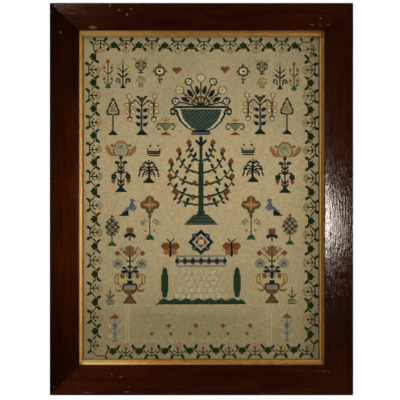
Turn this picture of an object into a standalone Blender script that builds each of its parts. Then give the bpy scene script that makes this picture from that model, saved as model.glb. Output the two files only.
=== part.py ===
# Cross stitch sampler in a mitred wooden frame with a gilt slip, hung upright on a wall.
# The front faces -Y, the wall plane is y = 0, and the origin is on the back of the top rail.
from math import cos, radians, sin, sqrt

import bmesh
import bpy
from mathutils import Vector

FRAME_WIDTH = 0.440
FRAME_HEIGHT = 0.569

# Width of each wooden rail, from the outer edge to the sight edge
RAIL_WIDTH = {"left": 0.0418, "right": 0.0418, "top": 0.0400, "bottom": 0.0436}
# Width of each gilt slip that shows inside the wood
SLIP_SHOWS = {"left": 0.0061, "right": 0.0069, "top": 0.0075, "bottom": 0.0078}

# Sections are drawn at these widths, and stretched to each side's own
DRAWN_RAIL = 0.0418
DRAWN_SLIP = 0.0145

FIT_GAP = 0.0003

# Wooden rail: depths are forward from the wall
OUTER_EDGE_DEPTH = 0.0158
OUTER_EDGE_RADIUS = 0.0022
CREST_INSET = 0.0338
CREST_DEPTH = 0.0230
FACE_BULGE = 0.0011
FACE_STEPS = 7
QUIRK_DEPTH = 0.0007
QUIRK_WIDTH = 0.0009
LIP_SLOPE = 0.0008
LIP_RADIUS = 0.0016
REBATE_INSET = 0.0340
REBATE_DEPTH = 0.0140

# Gilt slip: insets run from its own hidden outer edge
SLIP_TOP_WIDTH = 0.0070
SLIP_BACK = 0.0083
SLIP_SIGHT_DEPTH = 0.0098
SLIP_NOSE_RADIUS = 0.0006
COVE_START_DEPTH = 0.0134
COVE_STEPS = 6

CLOTH_THICKNESS = 0.0010
BOARD_BACK = 0.0024

ARC_STEPS = 4
SIDES = ("left", "top", "right", "bottom")
TOP_RAIL_BACK_CENTRE = REBATE_INSET / 2 * RAIL_WIDTH["top"] / DRAWN_RAIL


def rail_inset(side, inset):
    """The real distance from the frame's outer edge for an inset drawn on a rail."""
    return inset / DRAWN_RAIL * RAIL_WIDTH[side]


def slip_inset(side, inset):
    """The real distance from the frame's outer edge for an inset drawn on a slip."""
    outer = rail_inset(side, REBATE_INSET) + FIT_GAP
    sight = RAIL_WIDTH[side] + SLIP_SHOWS[side]
    return outer + (sight - outer) * inset / DRAWN_SLIP


def corner(sides, real_inset, inset, depth):
    """The point where two sides meet on their mitre line."""
    edges = {side: real_inset(side, inset) for side in sides}
    half = FRAME_WIDTH / 2
    top = TOP_RAIL_BACK_CENTRE
    x = -half + edges["left"] if "left" in edges else half - edges["right"]
    z = top - edges["top"] if "top" in edges else top - FRAME_HEIGHT + edges["bottom"]
    return Vector((x, -depth, z))


def arc(centre, radius, start, end):
    """Section points along an arc, with angles in degrees from the inset axis."""
    points = []
    for step in range(ARC_STEPS + 1):
        angle = radians(start + (end - start) * step / ARC_STEPS)
        points.append(
            (centre[0] + radius * cos(angle), centre[1] + radius * sin(angle))
        )
    return points


def rail_section():
    """Outline of the wooden moulding as (inset, depth), round from its back edge."""
    face_start = (OUTER_EDGE_RADIUS, OUTER_EDGE_DEPTH + OUTER_EDGE_RADIUS)
    edge = arc(
        (OUTER_EDGE_RADIUS, OUTER_EDGE_DEPTH), OUTER_EDGE_RADIUS, 180, 90
    )
    face = []
    for step in range(1, FACE_STEPS + 1):
        t = step / FACE_STEPS
        inset = face_start[0] + (CREST_INSET - face_start[0]) * t
        depth = face_start[1] + (CREST_DEPTH - face_start[1]) * t
        face.append((inset, depth + 4 * FACE_BULGE * t * (1 - t)))
    lip_start = CREST_INSET + QUIRK_WIDTH
    lip_depth = CREST_DEPTH - QUIRK_DEPTH / 2
    quirk = [
        (CREST_INSET + QUIRK_WIDTH / 2, CREST_DEPTH - QUIRK_DEPTH),
        (lip_start, lip_depth),
    ]
    lip = arc(
        (DRAWN_RAIL - LIP_RADIUS, lip_depth - LIP_SLOPE - LIP_RADIUS),
        LIP_RADIUS,
        90,
        0,
    )
    rebate = [
        (DRAWN_RAIL, REBATE_DEPTH),
        (REBATE_INSET, REBATE_DEPTH),
        (REBATE_INSET, 0.0),
    ]
    return [(0.0, 0.0), *edge, *face, *quirk, *lip, *rebate]


def slip_section():
    """Outline of the gilt slip: hidden under the wood, then a scoop and a round nose."""
    under = REBATE_DEPTH - FIT_GAP
    scoop_end = DRAWN_SLIP - 2 * SLIP_NOSE_RADIUS
    drop = COVE_START_DEPTH - SLIP_SIGHT_DEPTH
    scoop = []
    for step in range(COVE_STEPS + 1):
        t = step / COVE_STEPS
        inset = SLIP_TOP_WIDTH + (scoop_end - SLIP_TOP_WIDTH) * t
        scoop.append((inset, SLIP_SIGHT_DEPTH + drop * (1 - t) ** 2))
    nose = arc(
        (DRAWN_SLIP - SLIP_NOSE_RADIUS, SLIP_SIGHT_DEPTH - SLIP_NOSE_RADIUS / 2),
        SLIP_NOSE_RADIUS,
        120,
        0,
    )
    return [
        (0.0, SLIP_BACK),
        (0.0, under),
        (SLIP_TOP_WIDTH - FIT_GAP, under),
        *scoop,
        *nose,
        (DRAWN_SLIP, SLIP_BACK),
    ]


def finish_mesh(bm, name, material, smooth_angle):
    """Turns a bmesh into a named object with its material."""
    bmesh.ops.recalc_face_normals(bm, faces=bm.faces)
    mesh = bpy.data.meshes.new(name)
    bm.to_mesh(mesh)
    bm.free()
    mesh.shade_smooth()
    mesh.set_sharp_from_angle(angle=radians(smooth_angle))
    mesh.materials.append(material)
    obj = bpy.data.objects.new(name, mesh)
    bpy.context.scene.collection.objects.link(obj)
    return obj


def mitred_bar(name, side, section, real_inset, material):
    """One side of the frame: a section run between its two mitre planes."""
    index = SIDES.index(side)
    before = (SIDES[index - 1], side)
    after = (side, SIDES[(index + 1) % len(SIDES)])
    along = corner(after, rail_inset, 0.0, 0.0) - corner(before, rail_inset, 0.0, 0.0)
    inward = along.normalized() * (FIT_GAP / sqrt(2))
    bm = bmesh.new()
    rings = []
    for sides, shift in ((before, inward), (after, -inward)):
        ring = [
            bm.verts.new(corner(sides, real_inset, inset, depth) + shift)
            for inset, depth in section
        ]
        rings.append(ring)
    count = len(section)
    for i in range(count):
        j = (i + 1) % count
        bm.faces.new((rings[0][i], rings[0][j], rings[1][j], rings[1][i]))
    bm.faces.new(rings[0])
    bm.faces.new(reversed(rings[1]))
    return finish_mesh(bm, name, material, 30)


def flat_panel(name, back, front, material):
    """A flat rectangular sheet that fills the rebate as the slip does."""
    bm = bmesh.new()
    rings = []
    for depth in (back, front):
        corners = [
            corner((SIDES[i - 1], SIDES[i]), slip_inset, 0.0, depth) for i in range(4)
        ]
        rings.append([bm.verts.new(point) for point in corners])
    for i in range(4):
        j = (i + 1) % 4
        bm.faces.new((rings[0][i], rings[0][j], rings[1][j], rings[1][i]))
    bm.faces.new(rings[0])
    bm.faces.new(reversed(rings[1]))
    return finish_mesh(bm, name, material, 30)


def principled(name, colour, roughness, metallic):
    """A material with one Principled shader."""
    material = bpy.data.materials.new(name)
    material.use_nodes = True
    shader = material.node_tree.nodes["Principled BSDF"]
    shader.inputs["Base Color"].default_value = (*colour, 1.0)
    shader.inputs["Roughness"].default_value = roughness
    shader.inputs["Metallic"].default_value = metallic
    return material


def clear_scene():
    for obj in list(bpy.data.objects):
        bpy.data.objects.remove(obj, do_unlink=True)


def build():
    clear_scene()
    mahogany = principled("polished_mahogany", (0.035, 0.011, 0.005), 0.32, 0.0)
    gilt = principled("gilt_on_gesso", (0.62, 0.40, 0.14), 0.38, 0.85)
    linen = principled("aged_linen", (0.34, 0.27, 0.15), 0.95, 0.0)
    deal = principled("plain_deal_board", (0.33, 0.21, 0.11), 0.75, 0.0)
    for side in SIDES:
        mitred_bar(f"rail_{side}", side, rail_section(), rail_inset, mahogany)
        mitred_bar(f"slip_{side}", side, slip_section(), slip_inset, gilt)
    cloth_front = SLIP_BACK - FIT_GAP
    cloth_back = cloth_front - CLOTH_THICKNESS
    flat_panel("sampler_cloth", cloth_back, cloth_front, linen)
    flat_panel("backboard", BOARD_BACK, cloth_back - FIT_GAP, deal)


build()
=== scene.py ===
import math

import bpy
import numpy as np
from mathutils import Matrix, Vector


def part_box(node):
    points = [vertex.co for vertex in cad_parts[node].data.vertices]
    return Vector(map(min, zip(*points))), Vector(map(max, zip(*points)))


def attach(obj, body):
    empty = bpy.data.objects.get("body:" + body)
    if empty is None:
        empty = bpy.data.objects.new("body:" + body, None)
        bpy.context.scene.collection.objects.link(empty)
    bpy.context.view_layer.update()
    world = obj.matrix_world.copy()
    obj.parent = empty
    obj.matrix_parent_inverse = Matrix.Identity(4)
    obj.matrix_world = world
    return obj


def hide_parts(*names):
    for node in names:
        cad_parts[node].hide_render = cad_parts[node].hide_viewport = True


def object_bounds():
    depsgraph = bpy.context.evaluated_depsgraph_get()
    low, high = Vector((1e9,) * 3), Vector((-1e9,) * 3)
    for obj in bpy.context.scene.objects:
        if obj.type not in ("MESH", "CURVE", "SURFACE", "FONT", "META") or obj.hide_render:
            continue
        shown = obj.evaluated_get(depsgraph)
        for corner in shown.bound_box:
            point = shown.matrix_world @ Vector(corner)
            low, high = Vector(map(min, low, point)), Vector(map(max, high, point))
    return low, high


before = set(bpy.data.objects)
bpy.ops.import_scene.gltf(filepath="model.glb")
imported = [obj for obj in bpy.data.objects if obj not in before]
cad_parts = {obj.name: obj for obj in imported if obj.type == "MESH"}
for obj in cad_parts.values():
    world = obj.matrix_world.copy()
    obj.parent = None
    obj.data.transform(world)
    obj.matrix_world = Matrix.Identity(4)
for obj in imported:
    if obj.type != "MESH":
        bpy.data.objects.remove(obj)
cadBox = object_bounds()
print("frame loaded:", ", ".join(sorted(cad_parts)))

mm = 0.001
sides = ("left", "top", "right", "bottom")
fitGap = 0.3 * mm
sharpAngle = math.radians(40)
random = np.random.default_rng(1821)


# Shared helpers

def table(columns, *rows):
    # rows of values as dictionaries by column name
    return [dict(zip(columns.split(), row)) for row in rows]


def toLinear(hexColour):
    # sRGB hex to the linear values that shaders take
    channels = []
    for start in (1, 3, 5):
        value = int(hexColour[start:start + 2], 16) / 255
        channels.append(value / 12.92 if value <= 0.04045 else ((value + 0.055) / 1.055) ** 2.4)
    return (*channels, 1.0)


def setNode(tree, node, settings):
    # a socket as a value is linked, a ramp takes its stops, anything else is set
    for name, value in settings.items():
        if name == "stops":
            elements = node.color_ramp.elements
            while len(elements) < len(value):
                elements.new(0.5)
            for element, (position, hexColour) in zip(elements, value):
                element.position = position
                element.color = toLinear(hexColour)
        elif isinstance(value, bpy.types.NodeSocket):
            tree.links.new(value, node.inputs[name])
        elif isinstance(name, int) or name in node.inputs:
            node.inputs[name].default_value = value
        else:
            setattr(node, name, value)


def addNode(tree, kind, settings, output=0):
    node = tree.nodes.new(kind)
    setNode(tree, node, settings)
    return node.outputs[output] if node.outputs else node


def newMaterial(name):
    material = bpy.data.materials.new(name)
    material.use_nodes = True
    tree = material.node_tree
    return material, tree, tree.nodes["Principled BSDF"]


def stored(tree, name, output):
    return addNode(tree, "ShaderNodeAttribute", {"attribute_name": name}, output)


def maths(tree, operation, *values, clamp=False):
    settings = {"operation": operation, "use_clamp": clamp, **dict(enumerate(values))}
    return addNode(tree, "ShaderNodeMath", settings)


def weighted(tree, value, weight, added):
    return maths(tree, "MULTIPLY_ADD", value, weight, added)


def vectors(tree, operation, *values, output=0):
    settings = {"operation": operation, **dict(enumerate(values))}
    return addNode(tree, "ShaderNodeVectorMath", settings, output)


def dimmed(tree, colour, strength):
    return addNode(tree, "ShaderNodeVectorMath", {"operation": "SCALE", 0: colour, "Scale": strength})


def noise(tree, place, perMetre, detail, roughness=0.5, distortion=0.0):
    # perMetre is how many patches of noise lie in a metre, in all directions or along each axis
    if isinstance(perMetre, tuple):
        place = vectors(tree, "MULTIPLY", place, perMetre)
        perMetre = 1.0
    return addNode(tree, "ShaderNodeTexNoise", {
        "Vector": place, "Scale": perMetre, "Detail": detail,
        "Roughness": roughness, "Distortion": distortion,
    }, "Fac")


def ranged(tree, value, low, high, atLow, atHigh):
    return addNode(tree, "ShaderNodeMapRange", {
        "Value": value, "From Min": low, "From Max": high, "To Min": atLow, "To Max": atHigh,
    })


def ramp(tree, share, *stops):
    return addNode(tree, "ShaderNodeValToRGB", {"Fac": share, "stops": stops}, "Color")


def blend(tree, share, under, over):
    return addNode(tree, "ShaderNodeMix", {"data_type": "RGBA", 0: share, 6: under, 7: over}, 2)


def bump(tree, height, strength, distance):
    return addNode(tree, "ShaderNodeBump", {"Height": height, "Strength": strength, "Distance": distance})


def addPiece(name, mesh, materials):
    piece = bpy.data.objects.new(name, mesh)
    bpy.context.scene.collection.objects.link(piece)
    for material in materials:
        mesh.materials.append(material)
    mesh.shade_smooth()
    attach(piece, "root")
    return piece


# Camera: face on, from far enough that the rails show no perspective

viewSetup = {
    "photoPixels": 400,
    "mmPerPixel": 1.4512,
    "frameCentrePixel": (201.5, 199.1),
    "lens": 120.0,
    "sensor": 36.0,
    "outerEdgeDepth": 15.8 * mm,
}

frameLow, frameHigh = (Vector(corner) for corner in cadBox)
frameCentre = (frameLow + frameHigh) / 2


def addCamera():
    pixel = viewSetup["mmPerPixel"] * mm
    middle = viewSetup["photoPixels"] / 2
    seenWidth = viewSetup["photoPixels"] * pixel
    distance = viewSetup["lens"] / viewSetup["sensor"] * seenWidth + viewSetup["outerEdgeDepth"]
    column, row = viewSetup["frameCentrePixel"]
    data = bpy.data.cameras.new("photoCamera")
    data.lens = viewSetup["lens"]
    data.sensor_width = viewSetup["sensor"]
    data.clip_end = 50
    camera = bpy.data.objects.new("photoCamera", data)
    camera.location = (
        frameCentre.x - (column - middle) * pixel,
        -distance,
        frameCentre.z + (row - middle) * pixel,
    )
    camera.rotation_euler = (math.radians(90), 0, 0)
    bpy.context.scene.collection.objects.link(camera)
    bpy.context.scene.camera = camera


addCamera()


# Studio: a white surround to the camera that lights things only dimly, a few soft boxes, and a pale floor

# places and sizes in metres, power in watts; the window parts make one wide low window
softBoxes = table(
    "name at size power tint",
    ("windowNear", (0.48, -1.84, -0.330), (0.11, 0.12), 2.4, "#fff3e6"),
    ("windowFar", (0.66, -1.79, -0.334), (0.22, 0.14), 2.1, "#fff3e6"),
    ("windowTop", (0.48, -1.84, -0.243), (0.11, 0.055), 0.42, "#fff3e6"),
    ("cornerSheen", (-0.46, -1.66, 0.97), (0.06, 0.08), 0.36, "#ffe2cc"),
    ("topLeftFill", (-0.80, -1.66, 1.30), (0.26, 0.50), 22.0, "#ffffff"),
    ("rightFill", (3.8, -2.1, -0.30), (2.6, 1.3), 122.0, "#ffffff"),
    ("leftFill", (-3.4, -2.2, -0.20), (2.0, 2.0), 24.0, "#ffffff"),
    ("topFill", (0.0, -2.6, 3.2), (2.0, 2.0), 22.0, "#ffffff"),
    ("backFill", (1.9, 2.6, 1.2), (1.6, 1.6), 40.0, "#ffffff"),
)
surround = {"shown": "#ffffff", "light": 0.02, "tint": "#f0c79c"}
floorPlace = {"below": 1.5, "half": 2.6, "colour": "#d9d7d2", "roughness": 0.8}


def addStudio():
    for box in softBoxes:
        data = bpy.data.lights.new(box["name"], "AREA")
        data.shape = "RECTANGLE"
        data.size, data.size_y = box["size"]
        data.energy = box["power"]
        data.color = toLinear(box["tint"])[:3]
        lamp = bpy.data.objects.new(box["name"], data)
        lamp.location = box["at"]
        aim = frameCentre - Vector(box["at"])
        lamp.rotation_euler = aim.to_track_quat("-Z", "Y").to_euler()
        bpy.context.scene.collection.objects.link(lamp)
    world = bpy.data.worlds.new("paleSurround")
    bpy.context.scene.world = world
    world.use_nodes = True
    tree = world.node_tree
    tree.nodes.clear()
    toCamera = addNode(tree, "ShaderNodeLightPath", {}, "Is Camera Ray")
    shown, light = (
        addNode(tree, "ShaderNodeBackground", {"Color": toLinear(surround[colour]), "Strength": strength})
        for colour, strength in (("shown", 1.0), ("tint", surround["light"]))
    )
    mix = addNode(tree, "ShaderNodeMixShader", {0: toCamera, 1: light, 2: shown})
    addNode(tree, "ShaderNodeOutputWorld", {"Surface": mix})
    half = floorPlace["half"]
    height = frameLow.z - floorPlace["below"]
    corners = [(-half, -half, height), (half, -half, height), (half, half, height), (-half, half, height)]
    mesh = bpy.data.meshes.new("paleFloor")
    mesh.from_pydata(corners, [], [(0, 1, 2, 3)])
    material, tree, shader = newMaterial("paintedFloor")
    paint = {"Base Color": toLinear(floorPlace["colour"]), "Roughness": floorPlace["roughness"]}
    setNode(tree, shader, paint)
    mesh.materials.append(material)
    floor = bpy.data.objects.new("paleFloor", mesh)
    bpy.context.scene.collection.objects.link(floor)
    bpy.context.scene.view_settings.view_transform = "Standard"


addStudio()
print("camera and studio set")


# Lines that the rails and slips follow, read from the frame

outerEdge = {"left": frameLow.x, "right": frameHigh.x, "top": frameHigh.z, "bottom": frameLow.z}


def reachOf(kind):
    # how far each side's piece of one kind reaches in from the frame's outer edge
    return {
        "left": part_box(f"{kind}_left")[1][0] - frameLow.x,
        "right": frameHigh.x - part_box(f"{kind}_right")[0][0],
        "top": frameHigh.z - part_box(f"{kind}_top")[0][2],
        "bottom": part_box(f"{kind}_bottom")[1][2] - frameLow.z,
    }


railWidth = reachOf("rail")
slipReach = reachOf("slip")


def mitrePoint(pair, distances, depth):
    # where two neighbouring sides meet, each at its own distance from the outer edge
    place = dict(zip(pair, distances))
    x = outerEdge["left"] + place["left"] if "left" in place else outerEdge["right"] - place["right"]
    z = outerEdge["top"] - place["top"] if "top" in place else outerEdge["bottom"] + place["bottom"]
    return np.array((x, -depth, z))


def sectionArc(centre, radius, start, end, steps):
    angles = np.radians(np.linspace(start, end, steps))
    return [(centre[0] + radius * math.cos(a), centre[1] + radius * math.sin(a)) for a in angles]


def sweepSide(name, side, section, reach, step, shape, toneAt):
    # runs a closed section between two mitres; shape may move points by (along, inset, depth)
    # and toneAt gives the colour's strength by (share of the way along, inset)
    index = sides.index(side)
    upright = side in ("left", "right")
    stations = int(((frameHigh.z - frameLow.z) if upright else (frameHigh.x - frameLow.x)) / step)
    before = (sides[index - 1], side)
    after = (side, sides[(index + 1) % len(sides)])
    section = np.array(section)
    outerStart = mitrePoint(before, (0, 0), 0)
    direction = mitrePoint(after, (0, 0), 0) - outerStart
    direction /= np.linalg.norm(direction)
    starts, ends = (
        np.array([mitrePoint(pair, [reach(s, inset) for s in pair], depth) for inset, depth in section])
        for pair in (before, after)
    )
    starts = starts + direction * fitGap / math.sqrt(2)
    ends = ends - direction * fitGap / math.sqrt(2)
    shares = np.linspace(0, 1, stations)
    points = starts[None] * (1 - shares[:, None, None]) + ends[None] * shares[:, None, None]
    along = (points - outerStart) @ direction
    inset = np.broadcast_to(section[:, 0], along.shape)
    depth = np.broadcast_to(section[:, 1], along.shape)
    points[:, :, 1] += shape(along, inset, depth)
    count = len(section)
    vertices = points.reshape(-1, 3)
    rows = np.arange(stations - 1)[:, None] * count
    here = np.arange(count)[None]
    nextOne = (here + 1) % count
    quads = np.stack((rows + here, rows + nextOne, rows + count + nextOne, rows + count + here), axis=-1)
    faces = quads.reshape(-1, 4).tolist()
    faces.append(list(range(count))[::-1])
    faces.append([(stations - 1) * count + i for i in range(count)])
    mesh = bpy.data.meshes.new(name)
    mesh.from_pydata(vertices.tolist(), [], faces)
    outward = mesh.polygons[0].normal
    if Vector(vertices[0] - vertices[:count].mean(axis=0)).dot(outward) < 0:
        mesh.flip_normals()
    lines = mesh.attributes.new("grain", "FLOAT_VECTOR", "POINT")
    values = np.stack((along, inset, np.full_like(along, float(index))), axis=-1)
    lines.data.foreach_set("vector", values.reshape(-1).astype(np.float32))
    tone = toneAt(shares[:, None], section[None, :, 0])
    toneLayer = mesh.attributes.new("tone", "FLOAT", "POINT")
    toneLayer.data.foreach_set("value", tone.reshape(-1).astype(np.float32))
    mesh.update()
    return mesh


def alongTones(share, tones):
    return np.interp(share, np.linspace(0, 1, len(tones)), tones)


# Wooden rails: mahogany, planed to a low rise with a round outer edge and a narrow inner lip, then polished

woodShape = {
    "drawnWidth": 41.8 * mm,
    "edgeDepth": 17.5 * mm,
    "edgeRadius": 0.45 * mm,
    "crestInset": 33.8 * mm,
    "crestDepth": 22.2 * mm,
    "bulge": 0.25 * mm,
    "quirkWidth": 0.9 * mm,
    "quirkDepth": 0.06 * mm,
    "lipSlope": -0.32 * mm,
    "lipRadius": 0.45 * mm,
    "rebateInset": 34.0 * mm,
    "rebateDepth": 14.0 * mm,
    "faceSteps": 20,
    "edgeSteps": 9,
    "noseSteps": 6,
    "backSteps": 4,
    "stationStep": 2.4 * mm,
    "waver": 0.10 * mm,
    "tolerance": 0.2 * mm,
}
# the planed face's waves, in radians a metre
woodWaves = {"long": 21, "short": 47, "across": 90}

# how far each lip hangs past the drawn sight edge, in mm
lipOver = {"left": 1.5, "top": 0.6, "right": 0.7, "bottom": 1.2}

# knocks along the outer edges, in mm from each side's first corner
knocks = table(
    "side along inset radius depth",
    ("left", 556, 0, 2.6, 0.7),
    ("left", 246, 0, 1.8, 0.4),
    ("top", 312, 0, 2.2, 0.4),
    ("right", 190, 0, 2.2, 0.5),
    ("bottom", 130, 0, 2.6, 0.5),
)

# how light the wood is from one mitre to the other, partly its figure and partly painted sheen where the
# light falls along the rail; left and bottom run back towards the first corner
railFigureAndSheen = {
    "left": (0.56, 0.78, 1.70, 1.50, 1.20, 0.68, 0.38),
    "top": (1.05, 0.90, 0.72, 0.66, 0.76, 0.82, 1.00),
    "right": (0.62, 0.85, 1.05, 1.10, 0.85, 0.60, 0.75),
    "bottom": (1.05, 0.95, 0.88, 0.90, 1.05, 1.45, 1.55),
}
# painted highlight: how much lighter each rail is at its inner edge than at its outer one, where the lip
# catches the light
innerEdgeSheen = {"left": 2.0, "top": 0.95, "right": 1.0, "bottom": 1.05}

# marks in the polish: pale specks and scuffs, in mm along each side from its first corner, and inset
polishMarks = table(
    "side along inset long wide pale",
    ("top", 100, 11, 1.0, 1.8, 0.50),
    ("top", 112, 18, 1.0, 1.6, 0.95),
    ("top", 118, 9.7, 1.6, 0.8, 0.80),
    ("top", 87, 4, 0.7, 4.0, 0.45),
    ("top", 62.5, 37.6, 6.0, 2.6, 0.34),
    ("top", 392, 24, 1.0, 1.0, 0.95),
    ("left", 526, 16, 1.6, 1.0, 0.55),
    ("left", 310, 7, 1.0, 0.9, 0.34),
    ("left", 288, 36, 1.0, 0.8, 0.30),
    ("left", 12, 6, 2.0, 0.7, 0.45),
    ("right", 377, 20.5, 2.4, 0.9, 0.95),
    ("right", 374, 22.5, 1.2, 0.7, 0.80),
    ("right", 280, 14, 2.2, 2.2, 0.35),
    ("bottom", 350, 30, 1.2, 1.2, 0.60),
    ("bottom", 336, 26, 3.0, 0.8, 0.35),
    ("bottom", 328, 5, 4.0, 0.7, 0.45),
    ("bottom", 385, 4, 6.0, 0.7, 0.35),
)
scuffColour = "#b39a88"


def railReach(side, inset):
    # the lip runs on a little past its sight edge, because the eye looks over it at the slip
    reach = inset / woodShape["drawnWidth"] * railWidth[side]
    past = (inset - woodShape["rebateInset"]) / (woodShape["drawnWidth"] - woodShape["rebateInset"])
    return reach + max(past, 0) * lipOver[side] * mm


def railSection():
    w = woodShape
    faceStart = np.array((w["edgeRadius"], w["edgeDepth"] + w["edgeRadius"]))
    crest = np.array((w["crestInset"], w["crestDepth"]))
    edge = sectionArc((w["edgeRadius"], w["edgeDepth"]), w["edgeRadius"], 180, 90, w["edgeSteps"])
    face = []
    for t in np.linspace(0, 1, w["faceSteps"] + 1)[1:]:
        inset, depth = faceStart + (crest - faceStart) * t
        face.append((inset, depth + 4 * w["bulge"] * t * (1 - t)))
    quirk = [
        (w["crestInset"] + w["quirkWidth"] * across, w["crestDepth"] - w["quirkDepth"] * down)
        for across, down in ((0.25, 0.6), (0.50, 1), (0.75, 0.8))
    ]
    lipStart = w["crestInset"] + w["quirkWidth"]
    lipDepth = w["crestDepth"] - w["quirkDepth"] / 2
    lipCentre = (w["drawnWidth"] - w["lipRadius"], lipDepth - w["lipSlope"] - w["lipRadius"])
    lipTop = (lipCentre[0], lipCentre[1] + w["lipRadius"])
    lip = [
        (lipStart + (lipTop[0] - lipStart) * t, lipDepth + (lipTop[1] - lipDepth) * t)
        for t in (0, 0.25, 0.5, 0.75)
    ]
    nose = sectionArc(lipCentre, w["lipRadius"], 90, 0, w["noseSteps"])
    back = [(w["drawnWidth"], w["rebateDepth"]), (w["rebateInset"], w["rebateDepth"])]
    back += [(w["rebateInset"] * t, 0.0) for t in np.linspace(1, 0, w["backSteps"] + 1)]
    side = [(0.0, w["edgeDepth"] * t) for t in (0.35, 0.7)]
    return [*edge, *face, *quirk, *lip, *nose, *back, *side]


def railShape(side):
    own = [knock for knock in knocks if knock["side"] == side]
    phase = sides.index(side) * 1.7

    def shape(along, inset, depth):
        # hand planing leaves the face a little uneven, and knocks press it in
        front = np.clip((depth - woodShape["rebateDepth"]) / (4 * mm), 0, 1)
        long = np.sin(along * woodWaves["long"] + phase)
        short = np.sin(along * woodWaves["short"] + inset * woodWaves["across"] + 2 * phase)
        move = woodShape["waver"] * 0.5 * (long + 0.6 * short + 1.6) * front
        for knock in own:
            far = np.hypot(along - knock["along"] * mm, inset - knock["inset"] * mm)
            move = move + knock["depth"] * mm * front * np.exp(-((far / (knock["radius"] * mm)) ** 2))
        return move

    return shape


def makeMahogany():
    # mahogany, French polished and waxed: near black-red, long grain, glossy but streaky with age
    material, tree, shader = newMaterial("frenchPolishedMahogany")
    lines = stored(tree, "grain", "Vector")
    # ribbon figure about 9 mm wide and 80 mm long
    ribbon = noise(tree, lines, (12, 110, 5), 4, 0.55, 0.4)
    # pores are 0.2 mm wide in the wood, drawn 2 mm wide and 13 mm long so that they show
    pores = noise(tree, lines, (75, 480, 9), 4, 0.7)
    # slow clouding of the old polish, about 60 mm across
    cloud = noise(tree, lines, 17, 3)
    figure = weighted(tree, pores, 0.20, 0.05)
    figure = weighted(tree, ribbon, 0.45, figure)
    figure = weighted(tree, cloud, 0.25, figure)
    colour = ramp(tree, figure, (0.30, "#1e0801"), (0.46, "#260b02"), (0.56, "#2f0f03"), (0.72, "#431805"))
    # the stored tone carries the wood's figure together with painted sheen and the painted lip highlight
    colour = dimmed(tree, colour, stored(tree, "tone", "Fac"))
    for mark in polishMarks:
        centre = (mark["along"] * mm, mark["inset"] * mm, float(sides.index(mark["side"])))
        spread = (1 / (mark["long"] * mm), 1 / (mark["wide"] * mm), 10)
        offset = vectors(tree, "MULTIPLY", vectors(tree, "SUBTRACT", lines, centre), spread)
        far = vectors(tree, "LENGTH", offset, output="Value")
        near = ranged(tree, far, 0.3, 1.3, mark["pale"], 0.0)
        broken = maths(tree, "MULTIPLY", near, pores, clamp=True)
        colour = blend(tree, broken, colour, toLinear(scuffColour))
    # the scraper left fine ripples along the grain, which break the shine into flecks
    ripple = noise(tree, lines, (90, 450, 9), 3, 0.55)
    setNode(tree, shader, {
        "Base Color": colour,
        "Roughness": ranged(tree, pores, 0.46, 0.54, 0.065, 0.125),
        "Normal": bump(tree, ripple, 1.0, 0.22 * mm),
        "IOR": 1.5,
    })
    return material


def makeBareMahogany():
    # the back of the moulding: sawn and never polished, so dull brown with saw marks across it
    material, tree, shader = newMaterial("sawnMahoganyBack")
    lines = stored(tree, "grain", "Vector")
    grain = noise(tree, lines, (20, 500, 7), 5)
    # saw marks 2.5 mm apart
    saw = noise(tree, lines, (400, 12, 1), 2)
    both = weighted(tree, saw, 0.35, grain)
    setNode(tree, shader, {
        "Base Color": ramp(tree, both, (0.45, "#3a2014"), (0.66, "#5c3521"), (0.90, "#7b4c31")),
        "Normal": bump(tree, both, 0.5, 0.3 * mm),
        "Roughness": 0.8,
    })
    return material


def addRails():
    section = railSection()
    woods = (makeMahogany(), makeBareMahogany())
    for side in sides:

        def toneAt(share, inset):
            across = inset / woodShape["drawnWidth"] - 0.5
            # figure and painted sheen along the rail, painted lip highlight across it
            return alongTones(share, railFigureAndSheen[side]) * innerEdgeSheen[side] ** across

        name = f"rail_{side}_polished"
        mesh = sweepSide(name, side, section, railReach, woodShape["stationStep"], railShape(side), toneAt)
        rail = addPiece(name, mesh, woods)
        mesh.set_sharp_from_angle(angle=sharpAngle)
        for polygon in mesh.polygons:
            behind = -polygon.center.y < woodShape["rebateDepth"] + woodShape["tolerance"]
            facesBack = abs(polygon.normal.y) > 0.9 or -polygon.center.y < woodShape["tolerance"] / 2
            if behind and facesBack:
                polygon.material_index = 1
        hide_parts(f"rail_{side}")


addRails()
print("polished rails made")


# Gilt slips: a wooden slip coated in gesso and gilded, scooped with a small round nose

slipShape = {
    "drawnWidth": 14.5 * mm,
    "topWidth": 7.0 * mm,
    "back": 8.3 * mm,
    "sightDepth": 9.8 * mm,
    "noseRadius": 0.5 * mm,
    "noseSteps": 7,
    "scoopDepth": 11.6 * mm,
    "scoopSteps": 12,
    "stationStep": 3.0 * mm,
    "waver": 0.05 * mm,
}

# painted light and shade: how light the gilding is from one mitre to the other, lighter where the light falls
# on it
slipLightAlong = {
    "left": (0.85, 0.95, 1.10, 1.05, 1.0, 0.95, 0.85),
    "top": (1.8, 1.55, 1.2, 1.05, 1.0, 0.9, 0.9),
    "right": (0.9, 0.95, 1.0, 1.0, 0.95, 0.9, 0.85),
    "bottom": (0.80, 0.80, 0.80, 0.84, 1.10, 1.60, 1.9),
}
# and how it changes across the hollow, as inset in mm and strength: painted highlights where the hollow and
# the nose face the light, painted shade at the sight edge
slipLightAcross = {
    "left": ((8.6, 0.80), (10.2, 1.30), (10.9, 1.80), (12.0, 1.45), (13.2, 0.95), (14.5, 0.70)),
    "top": ((8.0, 1.0), (12.6, 1.0), (14.5, 0.95)),
    "right": (
        (8.6, 0.72), (11.0, 0.76), (12.1, 1.05), (12.8, 2.20), (13.4, 1.20), (13.9, 0.45), (14.5, 0.20),
    ),
    "bottom": ((8.6, 0.95), (12.4, 1.0), (13.0, 1.05), (13.6, 0.60), (14.5, 0.35)),
}
# pale gold blended in as a painted highlight where the slip's tone runs high
highlightColour = "#f8de8c"


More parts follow.
